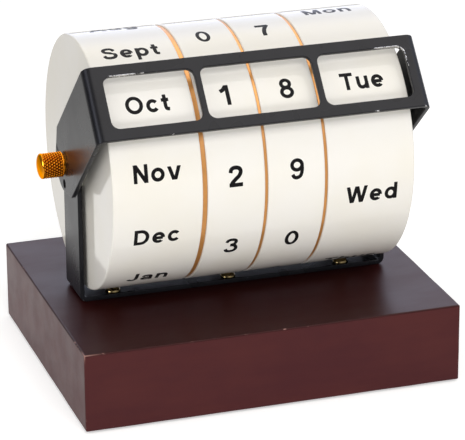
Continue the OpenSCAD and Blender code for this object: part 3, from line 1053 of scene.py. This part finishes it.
class CALENDAR_OT_make_axle(bpy.types.Operator):
    """Make the tube, the tie rod and the washers"""

    bl_idname = "calendar.make_axle"
    bl_label = "Axle and washers"

    def execute(self, context):
        sizes = context.scene.calendar_stand
        bore, free = mm(sizes.axle_hole), mm(sizes.tube) + mm(sizes.tube_gap)
        for name, node, body, look, inner in (
            ("axle_sleeve", "axle_tube", "stand", "bright_steel", bore),
            ("wheel_end_washer", "end_washer", "stand", "natural_nylon", free),
            ("left_arm_spacer", "left_arm_washer", "stand", "natural_nylon", bore),
            ("right_arm_spacer", "right_arm_washer", "stand", "natural_nylon", bore),
            ("left_nut_plate", "left_nut_washer", "visor", "turned_brass", bore),
            ("right_nut_plate", "right_nut_washer", "visor", "turned_brass", bore),
        ):
            x0, x1, outer = axle_box(node)
            add_ring(name, node, body, look, (x0, x1), (inner, outer), min(RING_EDGE, (x1 - x0) / 4))
        x0, x1, outer = axle_box("spring_washer")
        cone = [(x0, free), (x0 + SPRING_SHEET, free), (x1, outer), (x1 - SPRING_SHEET, outer)]
        spring, rod = turned(eased(cone, SPRING_EDGE), 96), thread(*axle_box("tie_rod"))
        add_piece("wave_spring", [spring], "bright_steel", "stand", "spring_washer")
        add_piece("threaded_rod", [rod], "bright_steel", "stand", "tie_rod")
        return {"FINISHED"}


def thread(x0, x1, radius, pitch=0.8, depth=0.25, per_pitch=5, turns=24):
    """Threaded rod: its radius falls by a share of depth that follows a triangle wave of x / pitch less t.

    The thread fades out over its last pitch at each end, where the rod is cut to a small point."""
    x = np.linspace(x0, x1, int((x1 - x0) / pitch * per_pitch))[:, None]
    t = np.arange(turns) / turns
    wave = triangle_wave(x / pitch - t)
    end = np.clip(np.minimum(x - x0, x1 - x) / pitch, 0, 1)
    r = radius - depth * (1 - wave * end) * (1 - 0.2 * end)
    r[0], r[-1] = 0, 0
    return grid(round_x(x, r, t * FULL_TURN))


# Radius of a moulded wheel's small edges, of the fillets on either side of its web, and of its cap's edges
SMALL, FILLET, LID_EDGE = 0.2, 0.6, 0.25


class CALENDAR_OT_make_wheels(bpy.types.Operator):
    """Make the four wheels with their caps and bushes"""

    bl_idname = "calendar.make_wheels"
    bl_label = "Wheels"

    def execute(self, context):
        stand, sizes = context.scene.calendar_stand, context.scene.calendar_wheels
        wall, hub, bush = mm(sizes.wall), mm(sizes.hub), mm(stand.bush)
        edge, free = mm(sizes.edge), mm(stand.tube) + mm(stand.tube_gap)
        for wheel in WHEELS:
            x0, x1, _ = axle_box(wheel + "_wheel")
            cap = axle_box(wheel + "_cap")[:2]
            web, out = (x0, 1) if cap[0] > (x0 + x1) / 2 else (x1, -1)
            width, inner = x1 - x0, WHEEL_RADIUS - wall
            seat, ledge = width - wall, inner - mm(sizes.ledge)
            x = (0, 0, width, width, seat, seat, seat - wall, seat - wall, wall, wall, seat, seat)
            r = (bush, WHEEL_RADIUS, WHEEL_RADIUS, inner, inner, ledge, ledge, inner, inner, hub, hub, bush)
            radii = [SMALL, edge, edge, *[SMALL] * 5, FILLET, FILLET, SMALL, SMALL]
            drum = turned(rounded(np.stack([x, r], 1), radii, 5) * [out, 1] + [web, 0], 256)
            add_piece(wheel + "_drum", [drum], "cream_enamel", wheel, wheel + "_wheel")
            add_ring(wheel + "_lid", wheel + "_cap", wheel, "cream_moulding", cap, (bush, inner), LID_EDGE, 192)
            add_ring(wheel + "_sleeve", wheel + "_bush", wheel, "natural_nylon", (x0, x1), (free, bush), SMALL)
        return {"FINISHED"}


class CALENDAR_OT_make_discs(bpy.types.Operator):
    """Make the gilt discs between the wheels"""

    bl_idname = "calendar.make_discs"
    bl_label = "Gilt discs"

    def execute(self, context):
        tube, lip = mm(context.scene.calendar_stand.tube), mm(context.scene.calendar_wheels.rim_lip)
        for place in ("month_tens", "tens_units", "units_weekday"):
            node = "gilt_disc_" + place
            x0, x1, outer = axle_box(node)
            span, radii = (x0 - lip, x1 + lip), (tube, outer)
            add_ring("gilt_ring_" + place, node, "stand", "satin_gilt", span, radii, RING_EDGE, 256)
        return {"FINISHED"}


MONTHS = ("Oct", "Sept", "Aug", "July", "June", "May", "Apr", "Mar", "Feb", "Jan", "Dec", "Nov")
DAYS = ("Tue", "Mon", "Sun", "Sat", "Fri", "Thur", "Wed")
TENS = ("1", "0", "", "3", "2") * 2
# For each wheel: the elevation of its word in the window, how many millimetres right of the wheel's middle its
# words stand, and the words from the window upwards
LETTERING = {
    "month": (42.1, 0.0, MONTHS),
    "tens": (42.3, -0.4, TENS),
    "units": (42.4, 0.1, "8765432109"),
    "weekday": (42.4, 0.4, DAYS),
}


class CALENDAR_OT_make_lettering(bpy.types.Operator):
    """Make the printed months, digits and days on the wheels"""

    bl_idname = "calendar.make_lettering"
    bl_label = "Lettering"

    def execute(self, context):
        sizes = context.scene.calendar_wheels
        glyphs = letter_strokes()
        for wheel, (first, offset, words) in LETTERING.items():
            x0, x1, _ = axle_box(wheel + "_wheel")
            middle = (x0 + x1) / 2 + offset
            height = mm(sizes.digit_height if wheel in ("tens", "units") else sizes.word_height)
            surfaces = []
            for k, word in enumerate(words):
                if word:
                    shape = word_shape(word, glyphs, height, sizes.stretch)
                    surfaces += printed(shape, middle, first + k * 360 / len(words), mm(sizes.print_height))
            add_piece(wheel + "_lettering", surfaces, "printed_black", wheel)
        return {"FINISHED"}


class CALENDAR_OT_make_visor(bpy.types.Operator):
    """Make the steel visor with its windows"""

    bl_idname = "calendar.make_visor"
    bl_label = "Visor"

    def execute(self, context):
        stand, sizes = context.scene.calendar_stand, context.scene.calendar_visor
        bend, reach, lean = mm(sizes.bend), mm(sizes.reach), sizes.tilt
        half, end, corner = mm(sizes.height) / 2, mm(sizes.arm_end), -mm(sizes.arm_corner)
        axle = VISOR_HALF_WIDTH - bend + bend * math.pi / 2 + reach - bend
        touch = math.degrees(math.atan2(half, corner) - math.acos(end / math.hypot(corner, half)))
        round_end = arc(axle, 0, end, end, touch, -touch, 33)
        places = fold_places(VISOR_HALF_WIDTH, bend)
        outline = strip_outline(places, half, run((axle + corner, half), round_end, (axle + corner, -half)))
        window, window_corner = mm(sizes.window_height) / 2, mm(sizes.window_corner)
        day, word, shift = mm(sizes.day_window) / 2, mm(sizes.word_window) / 2, mm(sizes.window_shift)
        word_x = day + mm(sizes.post) + word
        holes = [
            rounded(rectangle(x, half_width, window), window_corner, 10)
            for x, half_width in ((shift - word_x, word), (shift, day), (shift + word_x, word))
        ]
        for s in (-1, 1):
            holes.append(circle_loop(s * axle, 0, mm(stand.axle_hole)))
            holes.append(circle_loop(s * (axle + SPARE_HOLE[0]), SPARE_HOLE[1], mm(sizes.spare_hole)))

        def fold(s, v, depth):
            """The face stands its reach off the axle, leant back by the tilt, and its arms run to the axle."""
            across, inwards = u_fold(s, depth, VISOR_HALF_WIDTH, bend)
            out = reach - inwards
            y = -out * math.cos(lean) + v * math.sin(lean)
            z = out * math.sin(lean) + v * math.cos(lean)
            return np.stack([across, y, AXLE_Z + z], -1)

        def chips(points, edges):
            """Chips, partly painted highlights, are strongest on the very edge, and speckles lie on the flat
            too.
            """
            chipped, speckled = (
                spots(points, [(fold(np.array(s), v, 0), radius) for s, v, radius in blank])
                for blank in (VISOR_CHIPS_AND_HIGHLIGHTS, VISOR_SPECKLES)
            )
            return np.maximum(chipped * (0.3 + 0.7 * edges), speckled * 0.75)

        loops = [divided(loop) for loop in (outline, *holes)]
        add_folded("steel_visor", "visor", "visor", loops, stand, fold, places, chips)
        return {"FINISHED"}


# The spare hole's place behind and below the axle, along and across an arm
SPARE_HOLE = (4.8, -7.2)
# Bare-steel spots along the visor's edges, partly paint chips and partly painted highlights: their places on
# its blank, along it and up it, and their radius
VISOR_CHIPS_AND_HIGHLIGHTS = [
    (-61, 11.6, 1.6), (-58, 11.6, 1.8), (-55, 11.6, 1.8), (-52, 11.6, 1.5), (-48, 11.6, 1.1), (-42, 11.6, 0.9),
    (-40, -16.5, 1), (-30, -16.5, 0.8), (50, 11.6, 0.9), (54, 11.6, 1.5), (57, 11.6, 1.8), (60, 11.6, 1.8),
    (63, 11.6, 1.8), (65.6, 9.8, 1.4), (39, -16.5, 0.8), (48, -16.5, 1), (63, -16.5, 0.9), (70, -16.5, 0.9),
]
# Speckles on the flat beside the weekday window, given in the same way
VISOR_SPECKLES = [(66.5, 9, 1.5), (66.6, 6, 1.6), (66.6, 3, 1.4), (66.6, 0, 1.1)]


class CALENDAR_OT_make_nuts(bpy.types.Operator):
    """Make the two knurled thumb nuts"""

    bl_idname = "calendar.make_nuts"
    bl_label = "Thumb nuts"

    def execute(self, context):
        bore = mm(context.scene.calendar_stand.axle_hole)
        for side, name in ((-1, "left"), (1, "right")):
            x0, x1, radius = axle_box(name + "_thumb_nut")
            points, faces, groove = thumb_nut(*sorted([abs(x0), abs(x1)]), radius, bore)
            nut, node = (points * [side, 1, 1], faces), name + "_thumb_nut"
            add_piece(name + "_knurled_nut", [nut], "knurled_brass", name + "_nut", node, groove=groove)
        return {"FINISHED"}


def triangle_wave(phase):
    """Wave between 0 and 1, once for each whole number: 1 at the whole numbers and 0 halfway between."""
    return np.abs(2 * np.mod(phase, 1) - 1)


def thumb_nut(x0, x1, radius, bore, teeth=25, depth=0.5, slant=2.1):
    """Knurled nut from x0 to x1 about the axle: its points, faces, and how deep each point is in a groove.

    On the barrel the radius falls by depth times 1 - min(p, q), where p and q are triangle waves of
    teeth t + x / slant and teeth t - x / slant, so that the grooves cross and leave small pyramids. The barrel
    has a short plain band at each end, and its outer end is a low crown, half an ellipse."""
    ease, chamfer, crown, end_wall, plain = 0.35, 0.3, 1.8, 3, 0.15
    barrel, bottom = x1 - crown, x1 - end_wall
    rows = np.arange(x0 + ease, barrel, slant / 10)
    turn = np.linspace(0, math.pi / 2, 17)
    outline = np.vstack(
        [
            [(bottom, 0), (bottom, bore), (x0 + chamfer, bore), (x0, bore + chamfer), (x0, radius - ease)],
            np.stack([rows, np.full(len(rows), radius)], 1),
            np.stack([barrel + crown * np.sin(turn), radius * np.cos(turn)], 1),
        ]
    )
    t = np.arange(teeth * 8) / (teeth * 8)
    x, r = outline.T[:, :, None]
    ridge = np.minimum(triangle_wave(teeth * t + (x - x0) / slant), triangle_wave(teeth * t - (x - x0) / slant))
    on_barrel = (r == radius) * np.clip((x - x0 - ease) / plain, 0, 1) * np.clip((barrel - x) / plain, 0, 1)
    groove = on_barrel * (1 - ridge)
    return (*grid(round_x(x, r - depth * groove, t * FULL_TURN)), groove.ravel())


# The photograph's camera: its angles round the object, its distance and the point that it looks at
CAMERA_AZIMUTH, CAMERA_ELEVATION, CAMERA_ROLL = -18.003, 20.918, -0.384
CAMERA_TARGET, CAMERA_DISTANCE, CAMERA_LENS = (2.965, 0.006, 60.106), 1219.5, 216.64


# For each softbox: its place in metres, the height on the object that it is aimed at, its size and its colour
SOFTBOXES = (
    ("key_softbox", (-0.05, -1.0, 0.93), 0.09, (0.5, 0.5), (1, 0.99, 0.97)),
    ("front_softbox", (0.1, -1.5, 0.16), 0.07, (1.6, 0.3), (1, 0.992, 0.98)),
)
SOFTBOX_WATTS = 5.6


class CALENDAR_OT_make_stage(bpy.types.Operator):
    """Make the floor, the lights and the camera"""

    bl_idname = "calendar.make_stage"
    bl_label = "Stage"

    def execute(self, context):
        context.scene.view_settings.view_transform = "Standard"
        make_floor()
        make_world()
        for name, place, aim, size, colour in SOFTBOXES:
            make_lamp(name, place, aim, size, colour)
        make_camera()
        return {"FINISHED"}


def make_camera():
    """The photograph's camera."""
    azimuth, elevation, roll = (math.radians(a) for a in (CAMERA_AZIMUTH, CAMERA_ELEVATION, CAMERA_ROLL))
    level = math.cos(elevation)
    back = Vector((math.sin(azimuth) * level, -math.cos(azimuth) * level, math.sin(elevation)))
    right = Vector((0, 0, 1)).cross(back).normalized()
    axes = Matrix((right, back.cross(right), back)).transposed() @ Matrix.Rotation(roll, 3, "Z")
    camera = bpy.data.objects.new("photo_camera", bpy.data.cameras.new("photo_camera"))
    camera.data.lens = CAMERA_LENS
    camera.data.clip_end = 100
    place = (Vector(CAMERA_TARGET) + back * CAMERA_DISTANCE) * MM
    camera.matrix_world = Matrix.Translation(place) @ axes.to_4x4()
    bpy.context.scene.collection.objects.link(camera)
    bpy.context.scene.camera = camera


def make_floor(radius=4.0, drop=0.0001, rings=12, turns=96):
    """Round pale floor: a polar grid whose rings widen with the square of their number, just clear of the felt.

    It glows a little for the camera, so that it reads as white. Shiny surfaces see it glow beside and just
    behind the object, and greyer in front, as in a studio where the camera's side is dark."""
    out = radius * (np.arange(1, rings + 1)[:, None] / rings) ** 2
    t = even_turns(turns)
    surface, faces = grid(np.stack([out * np.cos(t), out * np.sin(t), 0 * out * t - drop], -1))
    mesh = bpy.data.meshes.new("studio_floor")
    mesh.from_pydata(surface.tolist(), [], [list(range(turns)), *faces.tolist()])
    finish = Finish("floor_white", (0.85, 0.85, 0.85), 0.9, Specular_IOR_Level=0, Emission_Color=(1, 1, 1))
    path = finish.add("LightPath").outputs
    _, (across, along, _) = finish.coordinates()
    glow = finish.product(
        finish.between(along, -0.25, 0.1, 0.0, 0.45),
        finish.between(along, 0.2, 0.4, 1.0, 0.2),
        finish.between(across, -0.3, -0.18),
    )
    shown, mirrored = finish.product(path["Is Camera Ray"], 0.5), finish.product(path["Is Glossy Ray"], glow)
    finish.set(Emission_Strength=finish.total(shown, mirrored))
    mesh.materials.append(finish.material)
    floor = bpy.data.objects.new("studio_floor", mesh)
    bpy.context.scene.collection.objects.link(floor)


# Direction of the bright pane that shiny surfaces see on the left
PANE = (-0.89, -0.29, 0.35)


def make_world():
    """Even pale surroundings, white for the camera, that light the object softly and mostly from the left.

    Shiny surfaces see a dark room low in front, where the camera stands, a pale tent above and behind that
    darkens to the left, and a small bright pane on the left. Both turn from cool to warm with height."""
    world = bpy.data.worlds.new("studio_surround")
    world.use_nodes = True
    nodes = Nodes(world.node_tree)
    around, (x, y, z) = nodes.coordinates("Generated")
    path = nodes.add("LightPath").outputs
    towards = nodes.add("VectorMath", {"operation": "DOT_PRODUCT"})
    nodes.feed(towards.inputs[0], around)
    nodes.feed(towards.inputs[1], PANE)
    # What shiny surfaces see: the tent above or behind, dimmer to the left, and the pane
    tent = nodes.highest(nodes.between(z, 0.1, 0.8, 0.4, 3.1), nodes.between(y, 0.2, 0.75, 0, 1.85))
    tent = nodes.product(tent, nodes.between(x, -0.45, 0.0, 0.15, 1.0))
    seen = nodes.total(tent, nodes.between(towards.outputs["Value"], 0.94, 0.97, 0, 8))
    # What lights matt surfaces: more from above than from level, and most from the left
    soft = nodes.highest(nodes.between(z, 0, 0.7, 0.14, 0.58), nodes.between(x, -0.9, -0.2, 1.05, 0.1))
    glossy = path["Is Glossy Ray"]
    matt = nodes.calculate("SUBTRACT", 1.0, glossy)
    level = nodes.total(nodes.product(glossy, seen), nodes.product(matt, soft))
    tint = nodes.blend(nodes.between(z, 0.45, 0.75), (0.89, 0.94, 1.14), (1, 0.97, 0.95))
    nodes.fill(
        world.node_tree.nodes["Background"],
        Color=nodes.blend(glossy, (1, 0.99, 0.975), tint),
        Strength=nodes.highest(level, path["Is Camera Ray"], path["Is Transmission Ray"]),
    )
    bpy.context.scene.world = world


def make_lamp(name, place, aim, size, colour):
    """Rectangular softbox at a place, aimed at a height on the Z axis. Shiny surfaces don't see it."""
    light = bpy.data.lights.new(name, "AREA")
    light.shape = "RECTANGLE"
    light.size, light.size_y = size
    light.energy, light.color = SOFTBOX_WATTS, colour
    lamp = bpy.data.objects.new(name, light)
    lamp.visible_glossy = False
    towards = Vector((0, 0, aim)) - Vector(place)
    lamp.matrix_world = Matrix.Translation(place) @ towards.to_track_quat("-Z", "Y").to_matrix().to_4x4()
    bpy.context.scene.collection.objects.link(lamp)


STEPS = (
    CALENDAR_OT_make_stage,
    CALENDAR_OT_make_base,
    CALENDAR_OT_make_cradle,
    CALENDAR_OT_make_screws,
    CALENDAR_OT_make_axle,
    CALENDAR_OT_make_wheels,
    CALENDAR_OT_make_discs,
    CALENDAR_OT_make_lettering,
    CALENDAR_OT_make_visor,
    CALENDAR_OT_make_nuts,
)
GROUPS = {
    "calendar_stand": CalendarStand,
    "calendar_visor": CalendarVisor,
    "calendar_wheels": CalendarWheels,
    "calendar_colours": CalendarColours,
}


class CALENDAR_PT_sidebar(bpy.types.Panel):
    """Sizes, colours and steps of the calendar"""

    bl_label = "Perpetual calendar"
    bl_idname = "CALENDAR_PT_sidebar"
    bl_space_type = "VIEW_3D"
    bl_region_type = "UI"
    bl_category = "Calendar"

    def draw(self, context):
        for key, group in GROUPS.items():
            box = self.layout.box()
            for name in group.__annotations__:
                box.prop(getattr(context.scene, key), name, text=name.replace("_", " ").capitalize())
        for step in STEPS:
            self.layout.operator(step.bl_idname)


CLASSES = (*GROUPS.values(), *STEPS, CALENDAR_PT_sidebar)


def register():
    """Registers the classes and hangs the property groups on the scene."""
    for group in CLASSES:
        bpy.utils.register_class(group)
    for key, group in GROUPS.items():
        setattr(bpy.types.Scene, key, bpy.props.PointerProperty(type=group))


def unregister():
    """Takes the property groups off the scene and unregisters the classes."""
    for key in GROUPS:
        delattr(bpy.types.Scene, key)
    for group in reversed(CLASSES):
        bpy.utils.unregister_class(group)


def main():
    """Builds every piece in order."""
    register()
    for step in STEPS:
        getattr(bpy.ops.calendar, step.bl_idname.split(".")[1])()


if __name__ == "__main__":
    main()
